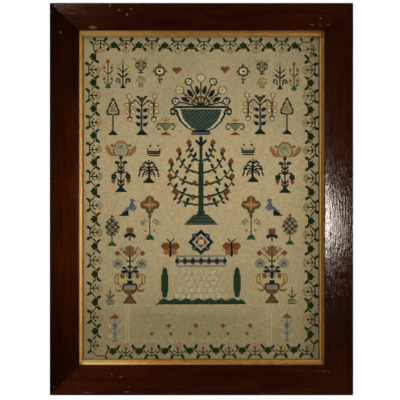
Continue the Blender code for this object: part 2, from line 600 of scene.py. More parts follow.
def slipLine(side, inset):
    outer = woodShape["rebateInset"] / woodShape["drawnWidth"] * railWidth[side] + fitGap
    return outer + (slipReach[side] - outer) * inset / slipShape["drawnWidth"]


def slipSection():
    s = slipShape
    under = woodShape["rebateDepth"] - fitGap
    scoopEnd = s["drawnWidth"] - s["noseRadius"]
    scoop = []
    for t in np.linspace(0, 1, s["scoopSteps"] + 1):
        inset = s["topWidth"] + (scoopEnd - s["topWidth"]) * t
        scoop.append((inset, s["sightDepth"] + (s["scoopDepth"] - s["sightDepth"]) * (1 - t) ** 2))
    nose = sectionArc((scoopEnd, s["sightDepth"] - s["noseRadius"]), s["noseRadius"], 100, 0, s["noseSteps"])
    start = [(0.0, s["back"]), (0.0, under), (s["topWidth"] - fitGap, under)]
    return [*start, *scoop, *nose, (s["drawnWidth"], s["back"])]


def makeGilt():
    # water gilding over gesso, rubbed and toned: satin gold, browner where it is worn to the clay
    material, tree, shader = newMaterial("tonedWaterGilding")
    lines = stored(tree, "grain", "Vector")
    # rubbed patches about 12 mm long
    rub = noise(tree, lines, (80, 500, 11), 4)
    colour = ramp(tree, rub, (0.30, "#8a5714"), (0.48, "#ab7828"), (0.70, "#ba8836"))
    tone = stored(tree, "tone", "Fac")
    # painted shade in the recess under the wood's lip
    inset = addNode(tree, "ShaderNodeSeparateXYZ", {"Vector": lines}, "Y")
    # painted shade: the gold darkens towards the wood's lip
    lipShade = ranged(tree, inset, 6.4 * mm, 8.0 * mm, 0.35, 1.0)
    strength = maths(tree, "MULTIPLY", maths(tree, "MINIMUM", tone, 1.3), lipShade)
    # painted highlight: the highest tones blend towards the pale highlight colour
    highlightShare = maths(tree, "MULTIPLY", ranged(tree, tone, 1.2, 2.4, 0.0, 0.9), lipShade)
    setNode(tree, shader, {
        "Base Color": blend(tree, highlightShare, dimmed(tree, colour, strength), toLinear(highlightColour)),
        "Roughness": ranged(tree, rub, 0.3, 0.7, 0.44, 0.34),
        "Normal": bump(tree, rub, 0.25, 0.2 * mm),
        "Metallic": 0.5,
        "Coat Weight": 0.12,
        "Coat Roughness": 0.30,
    })
    return material


def addSlips():
    section = slipSection()
    gilding = makeGilt()
    for side in sides:
        phase = sides.index(side) * 2.3

        def shape(along, inset, depth):
            shown = np.clip((inset - slipShape["topWidth"]) / (3 * mm), 0, 1)
            shown = shown * np.clip((depth - slipShape["back"]) / mm, 0, 1)
            return slipShape["waver"] * (1 + np.sin(along * 60 + phase)) * shown

        def toneAt(share, inset):
            # painted light and shade along and across each slip
            insets, strengths = zip(*slipLightAcross[side])
            return alongTones(share, slipLightAlong[side]) * np.interp(inset / mm, insets, strengths)

        name = f"slip_{side}_gilt"
        mesh = sweepSide(name, side, section, slipLine, slipShape["stationStep"], shape, toneAt)
        slip = addPiece(name, mesh, (gilding,))
        mesh.set_sharp_from_angle(angle=sharpAngle)
        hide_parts(f"slip_{side}")


addSlips()
print("gilt slips made")


# Cloth: one flat piece of even-weave, stretched over the backboard behind the slip

clothLow, clothHigh = (Vector(corner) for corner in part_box("sampler_cloth"))
clothShape = {"cell": 5.0 * mm, "unevenness": 0.10 * mm}
sightEdge = {
    "left": outerEdge["left"] + slipReach["left"],
    "right": outerEdge["right"] - slipReach["right"],
    "top": outerEdge["top"] - slipReach["top"],
    "bottom": outerEdge["bottom"] + slipReach["bottom"],
}


def clothRise(x, z):
    # slight slackness in the weave, always behind the slip's back
    wave = np.sin(x * 55 + 1.0) * np.sin(z * 41 + 0.4) + 0.5 * np.sin(x * 120 + z * 90)
    return -clothShape["unevenness"] * (0.75 + 0.5 * wave)


# drawn threads and the worn panel, as spans in mm across from the middle and up from the wall mount
clothMarks = table(
    "across up soft strength colour",
    ((-105, 88), (-477, -435), 8.0, 0.50, "#82764e"),
    ((-150, 150), (-180, -30), 80.0, 0.24, "#6f6c50"),
    ((115, 150), (-110, -40), 34.0, 0.18, "#6f6c50"),
    ((-90, 20), (-452, -405), 24.0, 0.16, "#6f6c50"),
    ((-72, -40), (-272, -238), 26.0, 0.30, "#b58a60"),
    ((30, 52), (-290, -240), 24.0, 0.20, "#b58a60"),
    ((-141, 139), (-423.4, -422.4), 1.4, 0.40, "#c6b98f"),
    ((-110.5, -109.5), (-481, -424), 1.6, 0.42, "#cfc39a"),
    ((-106.5, -105.5), (-481, -424), 1.6, 0.42, "#cfc39a"),
    ((96.5, 97.5), (-481, -424), 1.6, 0.42, "#cfc39a"),
    ((101.5, 102.5), (-481, -424), 1.6, 0.42, "#cfc39a"),
)
# dirt and painted shadow in the crevice along each sight edge; sign is the way outwards
edgeDirtAndShadow = table(
    "axis sign side strength",
    ("X", -1, "left", 0.92),
    ("X", 1, "right", 0.95),
    ("Z", 1, "top", 0.30),
    ("Z", -1, "bottom", 0.50),
)
crevice = {"from": -1.6 * mm, "to": -0.4 * mm, "colour": "#2a2418"}


def makeEvenweave():
    # unbleached even-weave wool and linen, washed and toned brown by two centuries: matt, slubbed both ways
    material, tree, shader = newMaterial("agedEvenweave")
    place = addNode(tree, "ShaderNodeTexCoord", {}, "Object")
    axes = {axis: addNode(tree, "ShaderNodeSeparateXYZ", {"Vector": place}, axis) for axis in "XZ"}
    # threads are 0.7 mm apart, drawn as 1.6 mm slubs so that they show
    weft = noise(tree, place, (110, 1, 620), 3)
    warp = noise(tree, place, (620, 1, 110), 3)
    slubs = maths(tree, "ADD", weft, warp)
    # dirt and old damp, in soft patches 40 to 120 mm across
    patches = noise(tree, place, 12, 4, 0.55)
    # the cloth is lighter in the middle and darker towards the rims and the foot
    offset = vectors(tree, "SUBTRACT", place, (0.0, 0.0, -0.230))
    offset = vectors(tree, "MULTIPLY", offset, (2.4, 0, 3.3))
    rim = weighted(tree, patches, 0.30, vectors(tree, "LENGTH", offset, output="Value"))
    colour = ramp(tree, rim, (0.15, "#b6a379"), (0.45, "#ad9c74"), (0.75, "#9f9069"), (1.0, "#8b7c58"))
    # specks of dirt caught in the weave, about 2.5 mm across
    specks = noise(tree, place, 330, 3, 0.6)
    uneven = ranged(tree, patches, 0.35, 0.6, 0.35, 1.0)
    for mark in clothMarks:
        edges = []
        for axis, name in (("X", "across"), ("Z", "up")):
            middle = (mark[name][0] + mark[name][1]) / 2 * mm
            half = abs(mark[name][1] - mark[name][0]) / 2 * mm
            soft = mark["soft"] * mm / 2
            away = maths(tree, "ABSOLUTE", maths(tree, "SUBTRACT", axes[axis], middle))
            edges.append(ranged(tree, away, half - soft, half + soft, 1.0, 0.0))
        worn = maths(tree, "MULTIPLY", maths(tree, "MULTIPLY", *edges), uneven)
        strong = maths(tree, "MULTIPLY", worn, mark["strength"])
        colour = blend(tree, strong, colour, toLinear(mark["colour"]))
    # dirt and painted shadow darken the cloth along each sight edge
    for dirtAndShadow in edgeDirtAndShadow:
        sign = float(dirtAndShadow["sign"])
        outward = weighted(tree, axes[dirtAndShadow["axis"]], sign, -sign * sightEdge[dirtAndShadow["side"]])
        share = ranged(tree, outward, crevice["from"], crevice["to"], 0.0, dirtAndShadow["strength"])
        colour = blend(tree, share, colour, toLinear(crevice["colour"]))
    shade = ranged(tree, weighted(tree, specks, 0.9, slubs), 1.1, 1.8, 0.78, 1.18)
    setNode(tree, shader, {
        "Base Color": dimmed(tree, colour, shade),
        "Normal": bump(tree, slubs, 0.6, 0.2 * mm),
        "Roughness": 0.92,
        "Specular IOR Level": 0.15,
    })
    return material


def addCloth():
    columns = int((clothHigh.x - clothLow.x) / clothShape["cell"])
    rows = int((clothHigh.z - clothLow.z) / clothShape["cell"])
    xs = np.linspace(clothLow.x, clothHigh.x, columns + 1)
    zs = np.linspace(clothLow.z, clothHigh.z, rows + 1)
    gridX, gridZ = np.meshgrid(xs, zs)
    front = np.stack((gridX, clothLow.y - clothRise(gridX, gridZ), gridZ), axis=-1).reshape(-1, 3)
    back = np.stack((gridX, np.full_like(gridX, clothHigh.y), gridZ), axis=-1).reshape(-1, 3)
    total = len(front)
    faces = []
    wide = columns + 1
    for row in range(rows):
        for column in range(columns):
            a = row * wide + column
            faces.append((a, a + 1, a + wide + 1, a + wide))
            faces.append((total + a, total + a + wide, total + a + wide + 1, total + a + 1))
    rim = [*range(wide), *range(2 * wide - 1, total, wide)]
    rim += [*range(total - 2, total - wide - 1, -1), *range(total - 2 * wide, 0, -wide)]
    for i, here in enumerate(rim):
        following = rim[(i + 1) % len(rim)]
        faces.append((here, total + here, total + following, following))
    mesh = bpy.data.meshes.new("sampler_evenweave")
    mesh.from_pydata(np.concatenate((front, back)).tolist(), [], faces)
    mesh.update()
    cloth = addPiece("sampler_evenweave", mesh, (makeEvenweave(),))
    mesh.set_sharp_from_angle(angle=sharpAngle)
    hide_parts("sampler_cloth")
    return cloth


samplerCloth = addCloth()
print("cloth made")


# Stitch chart: columns count from the middle of the cloth, rows from the top of what shows

stitch = {
    "pitch": 1.4512 * mm,
    "strandWidth": 1.24 * mm,
    "strandHeight": 0.32 * mm,
    "reach": 0.56,
    "jitter": 0.05 * mm,
    "sunk": 0.05 * mm,
    "sizeSpread": 0.05,
    "tone": 0.86,
    "toneSpread": 0.13,
    "lifts": (0.02 * mm, 0.20 * mm),
}
chart = {}


def penAt(column, row, flip=1, turn="down"):
    # local x, y go to the chart; turn says which way local y runs. The thread called cloth unpicks a stitch
    def put(x, y, thread):
        if turn == "down":
            place = (column + flip * x, row + y)
        elif turn == "up":
            place = (column + flip * x, row - y)
        elif turn == "right":
            place = (column + y, row + flip * x)
        else:
            place = (column - y, row + flip * x)
        chart[(math.floor(place[0] + 0.5), math.floor(place[1] + 0.5))] = thread

    return put


def mirrored(put):
    # the same pen for the left and for the right half of a motif
    return (lambda x, y, thread: put(-x, y, thread)), put


def dots(put, cells, thread):
    for x, y in cells:
        put(x, y, thread)


def run(put, x0, y0, x1, y1, thread, wide=1):
    steps = int(max(abs(x1 - x0), abs(y1 - y0)) * 1.5) + 1
    for i in range(steps + 1):
        t = i / steps
        for extra in range(wide):
            put(x0 + (x1 - x0) * t + extra, y0 + (y1 - y0) * t, thread)


def bar(put, half, y, thread):
    run(put, -half, y, half, y, thread)


def stem(put, top, bottom, thread, wide=1):
    run(put, 0, top, 0, bottom, thread, wide)


def path(put, points, thread):
    for (x0, y0), (x1, y1) in zip(points, points[1:]):
        run(put, x0, y0, x1, y1, thread)


def oval(put, cx, cy, rx, ry, thread, hollow=0.0):
    for y in np.arange(math.floor(cy - ry), math.ceil(cy + ry) + 1):
        for x in np.arange(math.floor(cx - rx), math.ceil(cx + rx) + 1):
            far = math.hypot((x - cx) / rx, (y - cy) / ry)
            if hollow <= far <= 1.04:
                put(x, y, thread)


def leaf(put, x0, y0, x1, y1, half, thread):
    length = math.hypot(x1 - x0, y1 - y0)
    for y in np.arange(math.floor(min(y0, y1)) - 1, math.ceil(max(y0, y1)) + 2):
        for x in np.arange(math.floor(min(x0, x1)) - 1, math.ceil(max(x0, x1)) + 2):
            t = ((x - x0) * (x1 - x0) + (y - y0) * (y1 - y0)) / length ** 2
            off = abs((x - x0) * (y1 - y0) - (y - y0) * (x1 - x0)) / length
            swell = math.sin(math.pi * (0.12 + 0.76 * min(max(t, 0), 1)))
            if -0.05 <= t <= 1.05 and off <= half * swell + 0.1:
                put(x, y, thread)


def foot(put, top, bottom, half, thread):
    for y in range(top, bottom + 1):
        bar(put, math.floor(half * (y - top + 1) / (bottom - top + 1)), y, thread)


def block(put, x0, y0, x1, y1, thread):
    for y in range(round(y0), round(y1) + 1):
        for x in range(round(x0), round(x1) + 1):
            put(x, y, thread)


# Border: a vine that steps in and out, a heart in each inner step and a sprig in each outer one

# hearts count along each side, and turn says which way the inside of the cloth lies;
# a side starts or ends with a sprig where the vine goes on past its last heart
border = table(
    "side line first pitch growth hearts turn startSprig endSprig",
    ("left", -112, 19.8, 26.4, 0.11, 11, "right", False, True),
    ("top", 4, -87.5, 25.86, 0.0, 8, "down", True, False),
    ("right", 114, 46.7, 26.93, 0.12, 10, "left", True, False),
    ("bottom", 319, -88, 25.82, 0.0, 8, "up", False, True),
)
vine = {"depth": 7, "flatHalf": 3, "leafStart": 4.1, "leafAlong": 2.5, "leafOut": 3.3, "leafHalf": 1.25}
# how far the hearts and sprigs of the upright sides drift from even steps, as row and rows of drift
upDrift = ((0, 0.0), (70, -0.9), (128, -0.9), (154, 0.0), (180, 0.9), (206, 0.0), (320, 0.2))

# the vine round each corner, and its loose leaves, as columns and rows
cornerVines = table(
    "path leaves",
    (((-103, 4), (-107, 8), (-107, 13), (-105, 16)), ((-107, 7, -111, 5),)),
    (
        ((97, 10), (102, 5), (109, 5), (113, 9), (113, 15), (108, 21), (107, 22), (108, 24), (112, 28)),
        (
            (101.5, 4, 99.5, 1), (110, 4, 112, 1), (113, 17, 116, 19), (107, 21, 104, 18),
            (107, 24, 104, 26), (113, 28, 116, 26),
        ),
    ),
    (((-112, 313), (-106, 319), (-98, 319), (-92, 312)), ((-97, 320, -95, 323),)),
    (((109, 319), (113, 315), (113, 309), (107, 301)), ((114, 308, 117, 305),)),
)


def borderHeart(put, x):
    # solid spade whose point looks outwards
    for y, half in enumerate((0, 1, 3, 3, 3, 2), start=1):
        for offset in range(-half, half + 1):
            put(x + offset, y, "heartGreen")


def borderSprig(put, x):
    for y, half in enumerate((2, 3, 4, 4, 3, 2), start=7):
        for offset in range(-half, half + 1):
            if random.random() < 0.88:
                put(x + offset, y, "fadedPink")
    run(put, x, 0, x, 6, "vineGreen")
    run(put, x - 2, 3, x + 2, 3, "darkGreen")
    for way in (-1, 1):
        path(put, [(x + way * 3, 4), (x + way * 4, 5)], "vineGreen")
        put(x + way, 7, "midGreen")
    put(x, 6, "darkGreen")
    put(x, 7, "heartGreen")
    put(x, 8, "darkGreen")


def addBorder():
    for plan in border:
        upright = plan["side"] in ("left", "right")
        put = penAt(plan["line"] if upright else 0, 0 if upright else plan["line"], 1, plan["turn"])
        hearts = [plan["first"] + plan["pitch"] * i + plan["growth"] * i * i for i in range(plan["hearts"])]
        if upright:
            hearts = [x + np.interp(x, *zip(*upDrift)) for x in hearts]
        sprigs = [(a + b) / 2 for a, b in zip(hearts, hearts[1:])]
        if plan["startSprig"]:
            sprigs.insert(0, hearts[0] - plan["pitch"] / 2)
        if plan["endSprig"]:
            sprigs.append(2 * hearts[-1] - sprigs[-1])
        stops = sorted([(x, vine["depth"]) for x in hearts] + [(x, 0) for x in sprigs])
        path(put, [(x + way * vine["flatHalf"], y) for x, y in stops for way in (-1, 1)], "vineGreen")
        for x, y in stops:
            rise = 1 if y else -1
            for way in (-1, 1):
                start = x + way * vine["leafStart"]
                leaf(
                    put, start, y - rise * 0.6, start + way * vine["leafAlong"], y + rise * vine["leafOut"],
                    vine["leafHalf"], "darkGreen",
                )
        for sprig in sprigs:
            borderSprig(put, sprig)
        for heart in hearts:
            borderHeart(put, heart)
    put = penAt(0, 0)
    for corner in cornerVines:
        path(put, corner["path"], "vineGreen")
        for x0, y0, x1, y1 in corner["leaves"]:
            leaf(put, x0, y0, x1, y1, vine["leafHalf"], "darkGreen")
    borderSprig(penAt(114, 0, 1, "left"), 12)


addBorder()
print("border charted:", len(chart), "stitches")


# Spot motifs, each charted down from its own top row, on its own axis

def candlePlant(put):
    stem(put, 4, 26, "midGreen")
    oval(put, 0, 2, 1.4, 2.6, "rust")
    for pen in mirrored(put):
        for base in (14, 25):
            path(pen, [(1, base), (2, base - 1), (4, base - 3)], "midGreen")
            oval(pen, 3.5, base - 6, 0.9, 1.9, "rust")
            pen(4, base - 9, "paleRust")
            pen(5, base - 5, "paleRust")
    foot(put, 25, 28, 2.8, "midGreen")


def curledPlant(put):
    stem(put, 1, 22, "darkTeal")
    stem(put, -5, 0, "fadedOlive")
    for pen in mirrored(put):
        run(pen, 1, 7, 4, 4, "navy")
        run(pen, 1, 12, 5, 9, "navy")
        path(pen, [(3, 19), (3, 15), (4, 14)], "darkTeal")
        path(pen, [(4, 14), (6, 14), (7, 16), (6, 17), (5, 17)], "darkTeal")
        dots(pen, ((6, 3), (6, 7), (3, 0), (2, -2), (7, 10), (5, 1)), "fadedOlive")
    foot(put, 20, 23, 2.6, "darkTeal")


def tulipCup(put):
    oval(put, 0, 2.5, 1.6, 2.6, "palePink")
    block(put, -1, 4, 1, 9, "palePink")
    put(0, 3, "rust")
    for pen in mirrored(put):
        oval(pen, 3.6, 6.5, 2.0, 2.6, "midGreen", 0.6)
        run(pen, 2, 3, 5, 4, "midGreen")
        run(pen, 3, 9, 1, 12, "midGreen")
        run(pen, 3, 2, 7, 0, "fadedOlive")
        pen(1, 11, "palePink")
    stem(put, 11, 13, "darkGreen")
    bar(put, 2, 14, "darkGreen")
    # a pale hive below, most of its silk worn away
    for y in range(18, 25):
        half = round(4.6 * math.sqrt(1 - ((24.5 - y) / 7) ** 2))
        for x in range(-half, half + 1):
            if abs(x) == half or y == 18 or random.random() < 0.45:
                put(x, y, "fadedTan")
    block(put, -2, 25, 2, 28, "fadedTan")


def lanternFlower(put):
    foot(put, 0, 3, 2.6, "rust")
    block(put, -4, 4, 4, 11, "heartGreen")
    block(put, -2, 5, 2, 10, "cream")
    block(put, -3, 6, 3, 9, "cream")
    block(put, -1, 7, 0, 8, "navy")
    for pen in mirrored(put):
        run(pen, 1, 16, 2, 15, "midGreen")
        dots(pen, ((5, 6), (5, 7), (5, 8), (5, 9), (6, 7), (6, 8), (7, 8)), "rust")
    bar(put, 2, 12, "rust")
    stem(put, 13, 18, "midGreen")
    bar(put, 1, 19, "midGreen")


def rustHeart(put):
    oval(put, -2, 2, 2.1, 1.8, "rust")
    oval(put, 2, 2, 2.1, 1.8, "rust")
    for y, half in ((3, 4), (4, 3), (5, 2), (6, 1), (7, 0)):
        bar(put, half, y, "rust")


def spadeTree(put):
    for pen in mirrored(put):
        path(pen, [(0, 0), (3, 6), (6, 13), (5, 16), (1, 16)], "darkTeal")
        pen(5, 12, "navy")
        pen(6, 15, "darkTeal")
    for y in range(5, 15):
        half = int((y - 2) * 0.36)
        for x in range(-half, half + 1):
            if (x + y) % 2 == 0:
                put(x, y, "fadedTan")
    path(put, [(-2, 13), (0, 9), (2, 13)], "fadedOlive")
    stem(put, 17, 32, "darkTeal")
    foot(put, 32, 36, 4.4, "darkTeal")


def ringPlant(put):
    run(put, -1, 18, -1, 35, "slateBlue")
    stem(put, 6, 35, "darkTeal")
    oval(put, 0, 5, 2.2, 2.4, "umber")
    for pen in mirrored(put):
        leaf(pen, 2, 4, 5, 1.5, 0.9, "darkTeal")
        path(pen, [(0, 12), (4, 8), (6, 6), (8, 6), (11, 9)], "darkTeal")
        run(pen, 12, 9, 12, 23, "darkTeal")
        path(pen, [(12, 8), (13, 4)], "tan")
        pen(13, 8, "darkTeal")
        pen(10, 8, "darkTeal")
        rings = ((13, 1.5, 2.5), (9, 10.5, 2.0), (15, 10.5, 2.0), (9, 17, 2.5), (15, 17, 2.5), (12, 25, 2.5))
        for x, y, size in rings:
            oval(pen, x, y, size, size, "paleRust")
            oval(pen, x, y, size - 0.9, size - 0.9, "cream")
        run(pen, 10, 23, 14, 23, "darkTeal")
        for y in (16, 23, 30):
            leaf(pen, 1.5, y + 1, 5.0, y - 1.5, 1.6, "darkTeal")
            pen(6, y - 2, "darkTeal")
    foot(put, 35, 40, 5.4, "darkTeal")


def handledCup(put):
    bar(put, 8, 6, "olive")
    bar(put, 7, 7, "fadedOlive")
    for y in range(8, 14):
        half = int((14 - y) * 0.85)
        bar(put, half, y, "paleOlive")
        put(-half, y, "olive")
        put(half, y, "olive")
    for pen in mirrored(put):
        path(pen, [(8, 7), (9, 9), (8, 12), (6, 12), (6, 11)], "olive")
        pen(3, 2, "fadedOlive")
    stem(put, 0, 5, "fadedOlive")
    bar(put, 2, 3, "fadedOlive")
    for y, half in ((15, 1), (16, 3), (17, 4)):
        bar(put, half, y, "rust")


def carnation(put):
    oval(put, 0, 8.5, 5.8, 5.6, "paleGrey")
    oval(put, 0, 9, 7.6, 8.4, "paleRust", 0.84)
    block(put, -9, 16, 9, 18, "cloth")
    bar(put, 9, 15, "paleRust")
    bar(put, 1, 6, "midGreen")
    bar(put, 3, 8, "palePink")
    for pen in mirrored(put):
        path(pen, [(8, 13), (8, 9)], "paleRust")
        oval(pen, 9, 5, 1, 1, "olive")
        leaf(pen, 10, 14, 13.5, 6.5, 2.2, "fadedPink")
        path(pen, [(9, 15), (12, 13), (15, 8), (14, 5), (13, 6)], "paleRust")
        path(pen, [(9, 14), (11, 11), (13, 7)], "paleRust")
    block(put, -1, 16, 1, 18, "navy")
    stem(put, 18, 47, "darkTeal")
    for pen in mirrored(put):
        oval(pen, 4, 22, 2.3, 1.7, "darkTeal")
        pen(4, 22, "olive")
        pen(2, 23, "darkTeal")
        for y in (28, 32, 42, 46):
            run(pen, 1, y, 3, y - 3, "darkTeal")
            pen(3, y - 4, "rust")
        path(pen, [(0, 33), (3, 32), (6, 32), (7, 34)], "darkTeal")
        oval(pen, 7.2, 36.3, 2.4, 3.0, "darkTeal")
        pen(7, 36, "slateBlue")
        oval(pen, 7.2, 40.3, 2.0, 1.8, "rust")
        pen(7, 43, "rust")
    foot(put, 46, 51, 5.4, "darkTeal")


def smallCrown(put):
    for x in range(-6, 7):
        dots(put, ((x, 9), (x, 11)), "darkTeal")
        put(x, 10, "paleOlive" if x % 2 else "navy")
    bar(put, 5, 13, "navy")
    for x in (-6, 6):
        oval(put, x, 7, 1.0, 1.0, "paleRust")
    put(-2, 7, "palePink")
    put(2, 7, "palePink")
    for x, thread in ((-4, "darkTeal"), (4, "midGreen")):
        dots(put, ((x, 3), (x, 4), (x + 1, 3)), thread)
    put(-3, 0, "fadedPink")


def weepingTree(put):
    stem(put, 0, 18, "darkTeal")
    stem(put, 6, 18, "darkTeal", 2)
    for pen in mirrored(put):
        for start, top, out, end in ((4, 2, 6, 4), (8, 6, 9, 10), (10, 9, 10, 16), (12, 11, 6, 16)):
            path(pen, [(0, start), (out * 0.5, top), (out * 0.85, top + 1), (out, end)], "darkTeal")
        for x, y in ((3, 1), (5, 5), (7, 9), (2, 13)):
            pen(x, y, "navy")
            pen(x + 1, y + 1, "darkTeal")
    foot(put, 18, 22, 5.0, "darkTeal")


def smallBird(put):
    oval(put, 2, 2, 1.6, 1.6, "slateBlue")
    run(put, 4, 2, 5, 3, "slateBlue")
    leaf(put, 1.5, 3, 2.5, 10, 2.0, "slateBlue")
    oval(put, 3.0, 9.5, 3.2, 3.0, "slateBlue", 0.55)
    leaf(put, 1, 8, -7, 15, 1.5, "slateBlue")
    for y in range(13, 18):
        run(put, -4 - (y - 13) * 1.4, y, -2, y, "darkTeal")


def quatrefoil(put):
    lobes = ((0, 3.5), (-5.5, 8.5), (5.5, 8.5), (0, 13))
    for x, y in lobes:
        oval(put, x, y, 3.9, 3.7, "olive")
    for x, y in lobes:
        oval(put, x, y, 2.8, 2.6, "rust")
    block(put, -3, 6, 3, 11, "paleRust")
    bar(put, 7, 8, "straw")
    bar(put, 5, 9, "straw")
    stem(put, 2, 14, "straw")
    block(put, -3, 15, 3, 16, "olive")
    block(put, -1, 17, 1, 21, "olive")
    stem(put, 16, 20, "rustGrey")
    stem(put, 21, 38, "midGreen")
    foot(put, 38, 43, 4.6, "midGreen")
    for pen in mirrored(put):
        path(pen, [(3, 26), (5, 23), (8, 24), (9, 28)], "fadedTan")
        path(pen, [(5, 27), (7, 26), (7, 29)], "fadedTan")
        oval(pen, 4.5, 34.5, 1.4, 1.4, "fadedTan", 0.5)


def roseBush(put):
    oval(put, 0, 1.5, 1.2, 1.8, "rust")
    stem(put, 3, 5, "midGreen")
    # the clipped head is a diamond lattice of green with a rust bud in each diamond
    for y in range(4, 21):
        half = 6.6 * math.sqrt(1 - ((y - 12) / 9.2) ** 2)
        for x in range(-round(half), round(half) + 1):
            rising, falling = (x + y) % 6, (x - y) % 6
            if rising < 2 or falling < 2:
                put(x, y, "midGreen" if random.random() < 0.35 else "heartGreen")
            elif rising in (3, 4) and falling in (3, 4):
                put(x, y, "rust")
    stem(put, 20, 26, "midGreen")
    foot(put, 26, 30, 4.4, "midGreen")


def blockFlower(put):
    block(put, -3, 0, 3, 4, "rust")
    for pen in mirrored(put):
        leaf(pen, 0, 5.5, 5.5, 8.5, 1.5, "darkTeal")
    stem(put, 5, 12, "darkTeal")


def flowerUrn(put):
    for x in (-4, -3, -1, 0, 1, 3, 4):
        top = 0 if abs(x) < 2 else 1
        run(put, x, top, x, 10 - (abs(x) > 1), "paleRust" if abs(x) == 4 else "rust")
    for pen in mirrored(put):
        run(pen, 2, 1, 2, 10, "paleOlive")
        oval(pen, 5.5, 6, 1.2, 1.8, "rust")
        oval(pen, 8, 3, 2.0, 2.0, "paleBlue")
        oval(pen, 12.5, 7, 2.6, 2.2, "rust")
        pen(15, 7, "rust")
        path(pen, [(10, 7), (7, 10), (3, 14)], "tan")
        oval(pen, 12, 17.5, 5.0, 4.8, "paleBlue")
        for x in (-5, 5):
            dots(pen, ((12 + x, 14), (12 + x, 21)), "cloth")
        for x in (-2, 2):
            dots(pen, ((12 + x, 13), (12 + x, 14), (12 + x, 22)), "cloth")
        for x in (-4, 4):
            dots(pen, ((12 + x, 12), (12 + x, 17), (12 + x, 23)), "cloth")
        dots(pen, ((9, 17), (15, 17), (12, 21), (12, 22)), "cloth")
        block(pen, 10, 17, 14, 18, "rust")
        pen(12, 16, "rust")
        leaf(pen, 8, 21.5, 4, 22, 0.9, "darkTeal")
        leaf(pen, 8.5, 25, 3.5, 26, 1.4, "darkTeal")
        path(pen, [(0, 27), (3, 25), (4, 23)], "darkTeal")
        run(pen, 3, 27, 3, 31, "slateBlue")
        run(pen, 1, 28, 1, 31, "cream")
        oval(pen, 7.5, 30, 2.2, 2.4, "rust")
        path(pen, [(9, 28), (13, 28), (15, 30), (15, 37), (11, 38)], "paleRust")
        run(pen, 12, 30, 12, 37, "tan")
        path(pen, [(11, 38), (9, 40), (8, 43), (9, 45), (12, 45), (14, 43)], "rust")
        run(pen, 10, 44, 12, 44, "paleRust")
    stem(put, 11, 27, "navy")
    bar(put, 3, 15, "navy")
    bar(put, 1, 20, "darkTeal")
    bar(put, 2, 21, "darkTeal")
    block(put, -1, 27, 1, 32, "darkTeal")
    block(put, -2, 35, 2, 37, "darkTeal")
    # cup: a round-bottomed shield shape, grey-blue above and rust at its foot
    for y, half in enumerate((6, 7, 7, 7, 7, 7, 6, 6, 5, 4, 2, 1), start=38):
        for pen in mirrored(put):
            run(pen, half - 1, y, half, y, "umber")
        if half > 3:
            inner = min(half - 2, 4)
            bar(put, inner, y, "paleBlue" if y < 44 else "rust")
    bar(put, 6, 38, "navy")
    bar(put, 5, 39, "rust")
    foot(put, 49, 57, 6.8, "umber")
    foot(put, 52, 56, 4.4, "rust")


def pottedSprig(put):
    stem(put, 1, 3, "paleRust")
    stem(put, 4, 13, "olive")
    for pen in mirrored(put):
        run(pen, 0, 11, 4, 8, "olive")
        pen(1, 5, "olive")
        pen(4, 15, "olive")
    oval(put, 0, 15, 4.4, 2.0, "paleOlive")
    bar(put, 3, 13, "olive")
    bar(put, 3, 17, "olive")


def blueSprig(put):
    foot(put, 0, 4, 4.4, "rust")
    stem(put, 5, 27, "slateBlue")
    for pen in mirrored(put):
        for y in (7, 16):
            path(pen, [(6, y), (4, y), (0, y + 5)], "paleBlue")
        oval(pen, 5, 12, 1.8, 1.6, "dullCream")
        oval(pen, 5, 22, 1.8, 1.6, "dullCream")
    oval(put, 0, 12, 2.0, 2.4, "slateBlue")
    oval(put, 0, 20, 1.2, 1.4, "slateBlue")
    bar(put, 2, 27, "slateBlue")


# each motif is worked twice, mirrored about the middle; lower and wider say how far the right one strays
spotMotifs = table(
    "draw column row lower wider",
    (candlePlant, 93, 23, 2, 0),
    (curledPlant, 78, 28, 1, 1),
    (tulipCup, 60, 22, 1, 1),
    (lanternFlower, 41, 27, 0, 1),
    (rustHeart, 24, 30, -1, 0),
    (spadeTree, 88, 62, -1, -2),
    (ringPlant, 59, 58, -1, 0),
    (handledCup, 35, 81, 0, -1),
    (carnation, 80, 104, 1, 4),
    (smallCrown, 47, 106, -1, 0),
    (weepingTree, 52, 124, -1, 0),
    (smallBird, 71, 162, 0, 0),
    (quatrefoil, 51, 160, 0, -1),
    (roseBush, 89, 179, -1, 0),
    (blockFlower, 71, 192, 1, 0),
    (flowerUrn, 71, 210, 0, 0),
    (pottedSprig, 91, 251, 0, 0),
    (blueSprig, 86, 278, 0, 0),
)


def addSpotMotifs():
    for motif in spotMotifs:
        motif["draw"](penAt(-motif["column"], motif["row"], 1))
        motif["draw"](penAt(motif["column"] + motif["wider"], motif["row"] + motif["lower"], -1))


addSpotMotifs()
print("spot motifs charted:", len(chart), "stitches")


# Middle column: a bowl of flowers, a fruit tree on a mound, and a star over a trellis

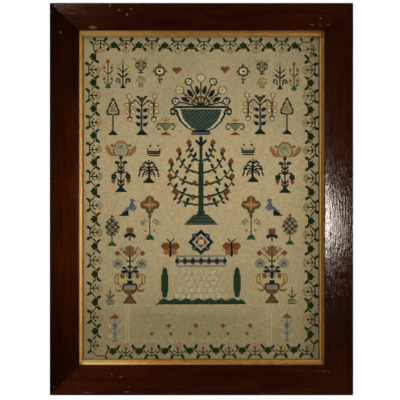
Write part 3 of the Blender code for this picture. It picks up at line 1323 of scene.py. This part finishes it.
def flowerBowl(put):
    # stems fan out of a round bowl; y runs down from the top flower
    rim = 36
    radius = 25
    stems = ((-78, 26), (-52, 27), (-26, 28), (0, 29), (26, 28), (52, 27), (78, 26))
    for i, (degrees, long) in enumerate(stems):
        x = long * math.sin(math.radians(degrees))
        y = rim - long * math.cos(math.radians(degrees))
        run(put, 0, rim, x, y, "darkTeal")
        size = 4.2 if i % 2 else 3.6
        oval(put, x, y, size, size, "paleRust" if i % 2 else "darkTeal")
        oval(put, x, y, size - 1.1, size - 1.1, "cream")
        oval(put, x, y, 0.9, 0.9, "rust" if i % 2 else "slateBlue")
    for degrees in (-65, -39, -13, 13, 39, 65):
        across, up = math.sin(math.radians(degrees)), math.cos(math.radians(degrees))
        leaf(put, 13 * across, rim - 13 * up, 21 * across, rim - 21 * up, 1.9, "darkTeal")
        oval(put, 9.5 * across, rim - 9.5 * up, 1.6, 1.6, "rust")
    for y in range(rim + 1, rim + radius - 1):
        half = round(radius * math.sqrt(1 - ((y - rim) / radius) ** 2))
        for x in range(-half, half + 1):
            if abs(x) > half - 2:
                put(x, y, "darkTeal")
            elif abs(x) > half - 5:
                put(x, y, "cream")
            else:
                lattice = (x + y) % 4 == 0 or (x - y) % 4 == 0
                put(x, y, "darkTeal" if lattice else "slateGreen")
    block(put, -27, rim, 27, rim + 1, "darkTeal")
    bar(put, 25, rim + 2, "cream")
    for pen in mirrored(put):
        oval(pen, 28, rim + 5, 2.6, 3.4, "darkTeal", 0.55)
    block(put, -8, rim + 24, 8, rim + 25, "navy")
    block(put, -9, rim + 26, 9, rim + 28, "slateGreen")


def fruitTree(put):
    # five pairs of rising boughs, with a round fruit at each tip and leaves on both edges
    boughs = table("from out rise", (24, 12, 16), (36, 22, 20), (48, 30, 21), (60, 31, 18), (68, 25, 10))
    for y in range(6, 80):
        half = 1 + (y > 26) * 0.5 + (y > 70) * (y - 70) * 0.25
        bar(put, round(half), y, "treeGreen")
    for bough in boughs:
        points = []
        for t in np.linspace(0, 1, 9):
            x = bough["out"] * math.sin(t * math.pi / 2)
            points.append((x, bough["from"] - bough["rise"] * (1 - math.cos(t * math.pi / 2))))
        for pen in mirrored(put):
            path(pen, points, "treeGreen")
            path(pen, [(x, y + 1) for x, y in points[:5]], "treeGreen")
            for x, y in points[3:8:2]:
                leaf(pen, x, y - 1, x - 2, y - 5, 1.1, "darkTeal")
                leaf(pen, x, y + 1, x + 3, y + 4, 1.1, "treeGreen")
            x, y = points[-1]
            oval(pen, x, y - 2, 2.3, 2.3, "rust")
            pen(x, y - 5, "treeGreen")
    leaf(put, 0, 6, 0, 0, 1.6, "darkTeal")
    for pen in mirrored(put):
        leaf(pen, 0, 9, 5, 4, 1.3, "darkTeal")
        oval(pen, 6, 46, 2.0, 2.0, "rust")
        oval(pen, 8, 62, 2.0, 2.0, "rust")
    for y in range(79, 89):
        half = 7 + (y - 79) * 1.0
        bar(put, round(half), y, "treeGreen" if y % 3 else "slateGreen")


def starAndTrellis(put):
    # eight-pointed star, two moths, a diamond band, then a pale trellis between cypresses
    for y in range(-12, 13):
        for x in range(-12, 13):
            diamond = abs(x) + abs(y)
            square = max(abs(x), abs(y))
            if diamond > 12 and square > 8:
                continue
            if square <= 2:
                thread = "cream"
            elif diamond <= 6:
                thread = "rust"
            elif diamond <= 8:
                thread = "cream"
            elif abs(abs(x) - abs(y)) < 2:
                thread = "slateBlue"
            else:
                thread = "darkTeal"
            put(x, y + 16, thread)
    for pen in mirrored(put):
        for upper, lower in ((26, 27), (35, 34)):
            oval(pen, upper, 20, 4.4, 3.6, "rust")
            oval(pen, lower, 26, 3.0, 2.6, "paleRust")
        leaf(pen, 30.5, 16, 30.5, 30, 1.2, "darkTeal")
        run(pen, 30, 16, 27, 13, "darkTeal")
        run(pen, 31, 16, 34, 13, "darkTeal")
        for y in range(42, 72):
            half = 3.0 * math.sin(math.pi * (y - 40) / 34) ** 0.6
            run(pen, 36 - round(half), y, 36 + round(half), y, "treeGreen")
    for x in range(-24, 25):
        phase = abs((x + 100) % 8 - 4)
        put(x, 32 + phase, "navy")
        put(x, 38 - phase, "navy")
        put(x, 30, "slateBlue")
        put(x, 40, "slateBlue")
        if phase == 0:
            block(put, x - 1, 34, x + 1, 36, "darkTeal")
    for row in range(5):
        for column in range(-4, 5):
            x = column * 6 + (3 if row % 2 else 0)
            y = 46 + row * 6
            if abs(x) < 27 - (4 - row) * 2:
                oval(put, x, y, 2.3, 2.3, "fadedCream")
                put(x + 3, y + 3, "palePink")
                put(x + 3, y, "fadedTan")
                put(x - 3, y, "fadedTan")
    for x in range(-44, 45):
        top = 74 + round(0.9 * math.sin(x * 0.55))
        if abs(x) > 40:
            top += abs(x) - 40
        run(put, x, top, x, 78, "treeGreen")


def bottomPanel(put):
    # bare cloth with small worn spots in two even rows, and a pale checked zigzag below them
    for i in range(4):
        for y, half in enumerate((0, 1, 2, 1, 0)):
            run(put, -32 + i * 27 - half, 18 + y, -32 + i * 27 + half, 18 + y, "rust")
    for i in range(6):
        block(put, -50 + i * 19, 27, -48 + i * 19, 29, "paleTeal")
        put(-49 + i * 19, 28, "midGreen")
    for x in range(-72, 70):
        rise = abs((x + 100) % 8 - 4)
        for y in range(31, 37):
            if (x + y) % 2 == 0 and rise <= y - 31 and random.random() < 0.7:
                put(x, y, "dullCream")


flowerBowl(penAt(0, 34))
fruitTree(penAt(0, 100))
starAndTrellis(penAt(0, 190))
bottomPanel(penAt(0, 270))
print("middle column charted:", len(chart), "stitches")


# Threads: twisted silk and fine wool, dyed with plants and faded

threads = {
    "darkGreen": "#16290f",
    "vineGreen": "#2c3614",
    "heartGreen": "#162e16",
    "midGreen": "#2b4a2e",
    "treeGreen": "#213c29",
    "slateGreen": "#515d49",
    "darkTeal": "#0e2122",
    "navy": "#141d29",
    "slateBlue": "#55666f",
    "paleBlue": "#7f8778",
    "paleTeal": "#4f6650",
    "paleGrey": "#9a9a78",
    "olive": "#4c5030",
    "paleOlive": "#7a7c56",
    "fadedOlive": "#877b50",
    "rust": "#7d4a1f",
    "paleRust": "#966636",
    "rustGrey": "#6e4f38",
    "umber": "#4c3c26",
    "straw": "#b08e58",
    "tan": "#846339",
    "palePink": "#986f48",
    "fadedPink": "#a0885d",
    "fadedTan": "#8f7c52",
    "cream": "#c6bd98",
    "fadedCream": "#bbaf88",
    "dullCream": "#aaa078",
}


def makeThread(name, hexColour):
    # plied thread laid in crosses: soft broken sheen, each stitch a shade lighter or darker
    material, tree, shader = newMaterial(f"pliedThread_{name}")
    place = addNode(tree, "ShaderNodeTexCoord", {}, "Object")
    # hairs about 0.4 mm apart
    fuzz = noise(tree, place, 2500, 2)
    shade = weighted(tree, fuzz, 0.30, stored(tree, "tone", "Fac"))
    setNode(tree, shader, {
        "Base Color": dimmed(tree, toLinear(hexColour)[:3], shade),
        "Normal": bump(tree, fuzz, 0.4, 0.1 * mm),
        "Roughness": 0.8,
        "Specular IOR Level": 0.12,
    })
    return material


def strandTemplate(direction, lift):
    # a pointed, three-sided strand along one diagonal of a unit stitch, with its height above the cloth on -Y
    rings = ((-0.66, 0.80), (0.0, 1.0), (0.66, 0.80))
    reach = stitch["reach"] * stitch["pitch"] * math.sqrt(2)
    along = np.array((1, 0, direction)) / math.sqrt(2)
    across = np.array((-direction, 0, 1)) / math.sqrt(2)
    up = np.array((0, -1, 0))
    points = [-along * reach + up * -stitch["sunk"]]
    for t, fullness in rings:
        base = up * lift * math.cos(t * math.pi / 2)
        half = across * stitch["strandWidth"] / 2 * fullness
        points.append(along * reach * t + base - half)
        points.append(along * reach * t + base + half)
        points.append(along * reach * t + base + up * stitch["strandHeight"] * fullness)
    points.append(along * reach + up * -stitch["sunk"])
    faces = [(0, 2, 1), (0, 3, 2), (0, 1, 3)]
    for ring in range(len(rings) - 1):
        a = 1 + ring * 3
        for side in range(3):
            b = a + side
            c = a + (side + 1) % 3
            faces.append((b, c, c + 3))
            faces.append((b, c + 3, b + 3))
    last = 1 + (len(rings) - 1) * 3
    end = len(points) - 1
    faces += [(last, last + 1, end), (last + 1, last + 2, end), (last + 2, last, end)]
    return np.array(points), np.array(faces)


# wool that is plumper than the rest, as a share of the common stitch
plumpThreads = {"darkTeal": 1.15, "navy": 1.15}
# the cloth was framed out of square: in stitches, its top right sags, its middle and foot dip,
# its left edge leans and its right edge bows out
skew = {
    "sag": 0.75, "tilt": 0.0043, "topDip": 0.8, "footDip": 0.5, "footTilt": 0.004,
    "lean": 2.4, "leanStart": 0.5, "bow": 0.9, "spread": 0.33, "shift": 0.52,
}


def stitchMesh(name, cells, plump):
    cells = np.array(sorted(cells), dtype=float)
    columns, rows = cells[:, 0], cells[:, 1]
    sag = skew["sag"] * columns / 103 * (1 - rows / 320) - skew["tilt"] * columns
    sag = sag + skew["topDip"] * np.exp(-((columns / 38) ** 2)) * np.clip((18 - rows) / 6, 0, 1)
    sag = sag + (skew["footDip"] - skew["footTilt"] * columns) * np.clip((rows - 305) / 8, 0, 1)
    lean = (skew["lean"] * rows / 320 - skew["leanStart"]) * np.clip((-columns - 92) / 6, 0, 1)
    bow = skew["bow"] * np.exp(-(((rows - 155) / 60) ** 2)) * np.clip((columns - 92) / 6, 0, 1)
    shift = skew["spread"] * np.clip(columns / 40, -1, 1) - skew["shift"]
    x = (columns + lean + bow + shift) * stitch["pitch"]
    z = sightEdge["top"] - (rows + sag + 0.5) * stitch["pitch"]
    x = x + random.normal(0, stitch["jitter"], len(cells))
    z = z + random.normal(0, stitch["jitter"], len(cells))
    y = clothLow.y - clothRise(x, z)
    centres = np.stack((x, y, z), axis=-1)
    size = random.normal(plump, stitch["sizeSpread"], (len(cells), 1, 1))
    tone = random.normal(stitch["tone"], stitch["toneSpread"], len(cells)).clip(0.5, 1.3)
    vertexGroups, faceGroups, tones, start = [], [], [], 0
    for direction, lift in zip((1, -1), stitch["lifts"]):
        points, faces = strandTemplate(direction, lift)
        vertices = centres[:, None, :] + points[None] * size
        offsets = start + np.arange(len(cells))[:, None, None] * len(points)
        vertexGroups.append(vertices.reshape(-1, 3))
        faceGroups.append((faces[None] + offsets).reshape(-1, 3))
        tones.append(np.repeat(tone, len(points)))
        start += len(cells) * len(points)
    vertices = np.concatenate(vertexGroups)
    faces = np.concatenate(faceGroups)
    mesh = bpy.data.meshes.new(name)
    mesh.vertices.add(len(vertices))
    mesh.vertices.foreach_set("co", vertices.reshape(-1).astype(np.float32))
    mesh.loops.add(faces.size)
    mesh.loops.foreach_set("vertex_index", faces.reshape(-1).astype(np.int32))
    mesh.polygons.add(len(faces))
    mesh.polygons.foreach_set("loop_start", np.arange(0, faces.size, 3, dtype=np.int32))
    mesh.update(calc_edges=True)
    toneLayer = mesh.attributes.new("tone", "FLOAT", "POINT")
    toneLayer.data.foreach_set("value", np.concatenate(tones).astype(np.float32))
    return mesh


def addStitches():
    byThread = {}
    for cell, thread in chart.items():
        if thread != "cloth":
            byThread.setdefault(thread, []).append(cell)
    pieces = []
    for thread in threads:
        name = f"stitches_{thread}"
        mesh = stitchMesh(name, byThread[thread], plumpThreads.get(thread, 1.0))
        pieces.append(addPiece(name, mesh, (makeThread(thread, threads[thread]),)))
        print(name, len(byThread[thread]))
    return pieces


stitches = addStitches()
print("stitches worked:", sum(len(piece.data.polygons) for piece in stitches), "triangles")


# Backboard: the frame's own plain board keeps its shape and gets old softwood

def makeDeal():
    # planed deal left bare behind the frame: straw brown, wide soft grain, grey with dust
    material, tree, shader = newMaterial("dustyPlanedDeal")
    place = addNode(tree, "ShaderNodeTexCoord", {}, "Object")
    # growth rings about 9 mm apart
    rings = noise(tree, place, (110, 110, 7), 5, distortion=0.8)
    both = weighted(tree, noise(tree, place, 25, 4), 0.35, rings)
    setNode(tree, shader, {
        "Base Color": ramp(tree, both, (0.45, "#6d5234"), (0.65, "#94744c"), (0.85, "#a98b61")),
        "Normal": bump(tree, rings, 0.4, 0.3 * mm),
        "Roughness": 0.78,
    })
    return material


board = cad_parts["backboard"]
board.data.materials.clear()
board.data.materials.append(makeDeal())
print("backboard finished")
